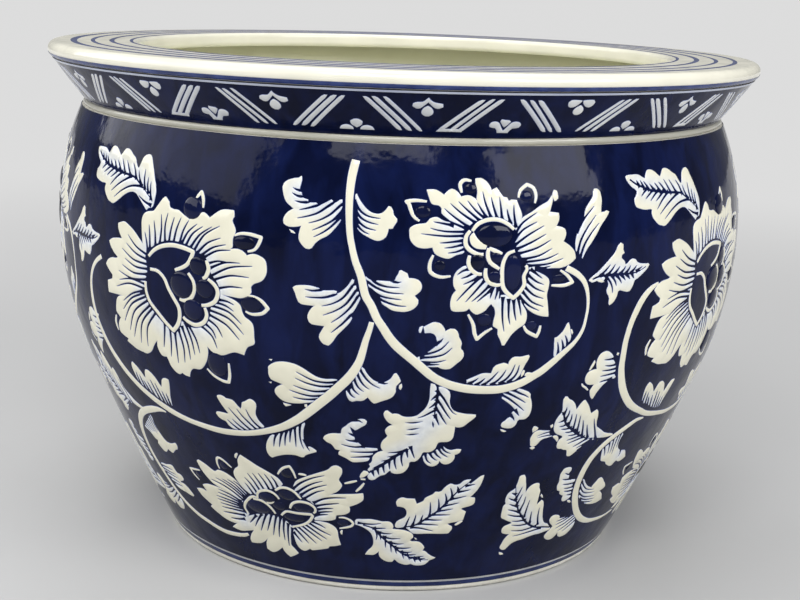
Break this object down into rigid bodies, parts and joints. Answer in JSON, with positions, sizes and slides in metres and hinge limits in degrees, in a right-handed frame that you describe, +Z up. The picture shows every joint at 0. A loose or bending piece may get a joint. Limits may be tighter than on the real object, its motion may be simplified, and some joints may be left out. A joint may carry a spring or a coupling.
{
  "type": "planter",
  "caption": "Round glazed porcelain planter with a foot ring, a swelling wall, a flaring neck, a broad flat rim and a drain hole.",
  "frame": {"origin": "centre of the foot's underside, on the plane that it rests on", "axes": "+Z up the pot's axis; the pot is turned around it, and the flower seen from the front faces -Y"},
  "size_m": [0.3999, 0.4, 0.2777],
  "materials": {
    "white_porcelain": "fired porcelain, matt where bare",
    "white_glaze": "gloss, warm white",
    "cobalt_glaze": "gloss over deep cobalt blue",
    "celadon_glaze": "gloss, pale green white",
    "blue_line": "gloss over brushed blue"
  },
  "bodies": {
    "root": {"foot_ring": "white_porcelain", "base_disc": "white_porcelain", "lower_wall": "white_porcelain", "upper_wall": "white_porcelain", "neck_collar": "white_porcelain", "neck_bead": "white_glaze", "rim_flange": "white_glaze", "body_glaze": "cobalt_glaze", "neck_glaze": "cobalt_glaze", "inner_glaze": "celadon_glaze", "rim_lines": "blue_line", "lip_line": "blue_line", "neck_line": "white_glaze", "foot_blue_line": "blue_line", "foot_white_line": "white_glaze"}
  },
  "joints": []
}
